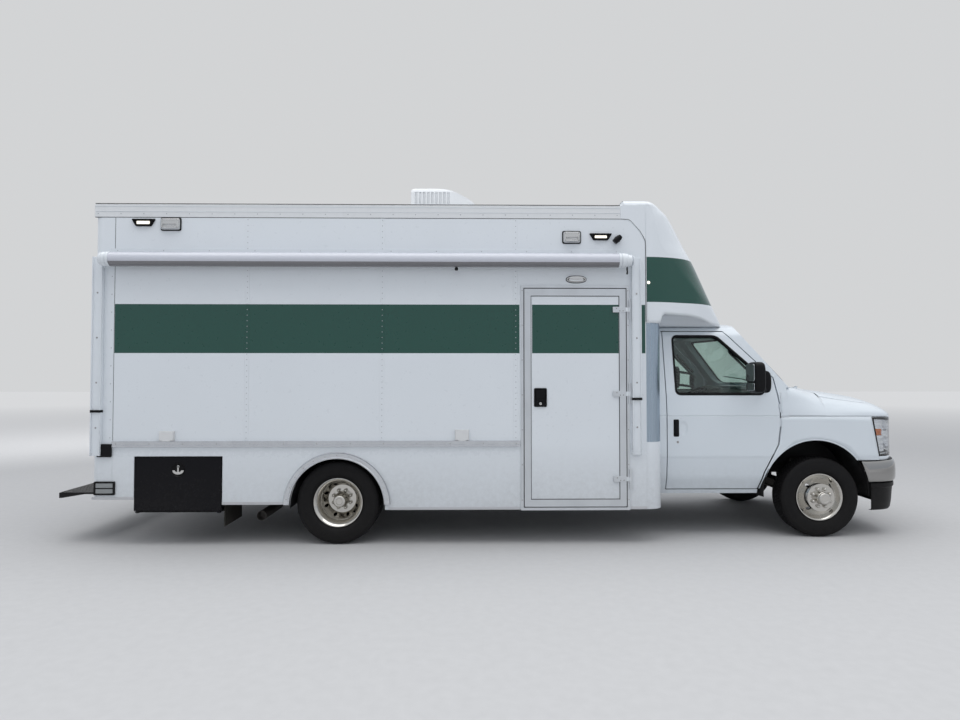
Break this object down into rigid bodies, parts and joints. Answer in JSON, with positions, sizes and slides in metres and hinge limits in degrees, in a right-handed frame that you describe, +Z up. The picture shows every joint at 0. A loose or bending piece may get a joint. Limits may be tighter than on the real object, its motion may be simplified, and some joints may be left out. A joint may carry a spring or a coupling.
{
  "type": "box-bodied ambulance",
  "caption": "Full-size ambulance with a van cab, a tall box body, steered front wheels, twin rear wheels, opening doors, hood and a side awning.",
  "frame": {"origin": "on the ground, midway along the whole length and on the centre line", "axes": "+X forward, +Y to the vehicle's left, +Z up"},
  "size_m": [7.96, 2.689, 3.472],
  "materials": {
    "white_paint": "gloss",
    "cap_paint": "gloss",
    "bright_aluminium": "brushed",
    "chrome": "polished",
    "black_plastic": "matte",
    "black_paint": "satin",
    "frame_paint": "satin",
    "cast_iron": "rough",
    "steel": "satin",
    "tyre_rubber": "matte",
    "rubber": "matte",
    "glass": "clear",
    "lamp_lens": "gloss",
    "grey_plastic": "matte",
    "seat_cloth": "woven",
    "awning_shell": "gloss"
  },
  "bodies": {
    "chassis": {"ladder_frame": "frame_paint", "engine_block": "cast_iron", "front_axle_beams": "cast_iron", "rear_axle": "cast_iron", "suspension_springs": "steel", "fuel_tank": "black_plastic", "exhaust_pipe": "steel", "front_bumper": "chrome", "bumper_valance": "black_plastic", "grille": "chrome", "headlamps": "lamp_lens", "front_fenders": "white_paint", "cab_shell": "white_paint", "windscreen": "glass", "dashboard": "grey_plastic", "steering_wheel": "black_plastic", "cab_seats": "seat_cloth", "box_floor": "bright_aluminium", "box_wall_right": "white_paint", "box_wall_left": "white_paint", "box_wall_front": "white_paint", "box_wall_rear": "white_paint", "box_roof": "white_paint", "nose_cap": "cap_paint", "corner_posts": "bright_aluminium", "box_skirts": "white_paint", "flares_and_rub_rails": "bright_aluminium", "entry_door_frame": "bright_aluminium", "toolbox_body": "black_paint", "awning_roller": "awning_shell", "awning_arms": "white_paint", "roof_air_conditioner": "white_paint", "body_lamps": "lamp_lens", "rear_step": "black_paint", "mud_flaps": "rubber"},
    "hood": {"hood": "white_paint"},
    "cab_door_right": {"cab_door_right": "white_paint", "door_glass_right": "glass", "mirror_right": "black_plastic"},
    "cab_door_left": {"cab_door_left": "white_paint", "door_glass_left": "glass", "mirror_left": "black_plastic"},
    "entry_door": {"entry_door": "white_paint"},
    "rear_door_right": {"rear_door_right": "white_paint", "rear_glass_right": "glass"},
    "rear_door_left": {"rear_door_left": "white_paint", "rear_glass_left": "glass"},
    "toolbox_lid": {"toolbox_lid": "black_paint"},
    "knuckle_right": {"knuckle_right": "cast_iron"},
    "knuckle_left": {"knuckle_left": "cast_iron"},
    "front_wheel_right": {"front_wheel_right": "chrome", "front_tyre_right": "tyre_rubber"},
    "front_wheel_left": {"front_wheel_left": "chrome", "front_tyre_left": "tyre_rubber"},
    "rear_wheels_right": {"rear_wheel_right": "chrome", "rear_tyres_right": "tyre_rubber"},
    "rear_wheels_left": {"rear_wheel_left": "chrome", "rear_tyres_left": "tyre_rubber"}
  },
  "joints": [
    {"name": "steer_right", "type": "hinge", "parent": "chassis", "child": "knuckle_right", "pos_m": [3.05, -0.8, 0.372], "axis": [0, 0, 1], "range_deg": [-32, 32]},
    {"name": "front_wheel_spin_right", "type": "hinge", "parent": "knuckle_right", "child": "front_wheel_right", "pos_m": [3.05, -0.881, 0.372], "axis": [0, 1, 0], "continuous": true},
    {"name": "rear_wheel_spin_right", "type": "hinge", "parent": "chassis", "child": "rear_wheels_right", "pos_m": [-1.42, -0.952, 0.372], "axis": [0, 1, 0], "continuous": true},
    {"name": "cab_door_swing_right", "type": "hinge", "parent": "chassis", "child": "cab_door_right", "pos_m": [2.674, -1.005, 1.1], "axis": [0, 0, 1], "range_deg": [0, 70]},
    {"name": "rear_door_swing_right", "type": "hinge", "parent": "chassis", "child": "rear_door_right", "pos_m": [-3.612, -0.632, 1.7], "axis": [0, 0, 1], "range_deg": [0, 105]},
    {"name": "steer_left", "type": "hinge", "parent": "chassis", "child": "knuckle_left", "pos_m": [3.05, 0.8, 0.372], "axis": [0, 0, 1], "range_deg": [-32, 32]},
    {"name": "front_wheel_spin_left", "type": "hinge", "parent": "knuckle_left", "child": "front_wheel_left", "pos_m": [3.05, 0.881, 0.372], "axis": [0, 1, 0], "continuous": true},
    {"name": "rear_wheel_spin_left", "type": "hinge", "parent": "chassis", "child": "rear_wheels_left", "pos_m": [-1.42, 0.952, 0.372], "axis": [0, 1, 0], "continuous": true},
    {"name": "cab_door_swing_left", "type": "hinge", "parent": "chassis", "child": "cab_door_left", "pos_m": [2.674, 1.005, 1.1], "axis": [0, 0, -1], "range_deg": [0, 70]},
    {"name": "rear_door_swing_left", "type": "hinge", "parent": "chassis", "child": "rear_door_left", "pos_m": [-3.612, 0.632, 1.7], "axis": [0, 0, -1], "range_deg": [0, 105]},
    {"name": "hood_lift", "type": "hinge", "parent": "chassis", "child": "hood", "pos_m": [3.116, 0, 1.401], "axis": [0, -1, 0], "range_deg": [0, 55]},
    {"name": "entry_door_swing", "type": "hinge", "parent": "chassis", "child": "entry_door", "pos_m": [1.2, -1.235, 1.3], "axis": [0, 0, 1], "range_deg": [0, 88]},
    {"name": "toolbox_lid_drop", "type": "hinge", "parent": "chassis", "child": "toolbox_lid", "pos_m": [-2.83, -1.227, 0.311], "axis": [1, 0, 0], "range_deg": [0, 90]}
  ],
  "couplings": [
    {"joint": "steer_left", "follows": "steer_right", "ratio": 1}
  ]
}
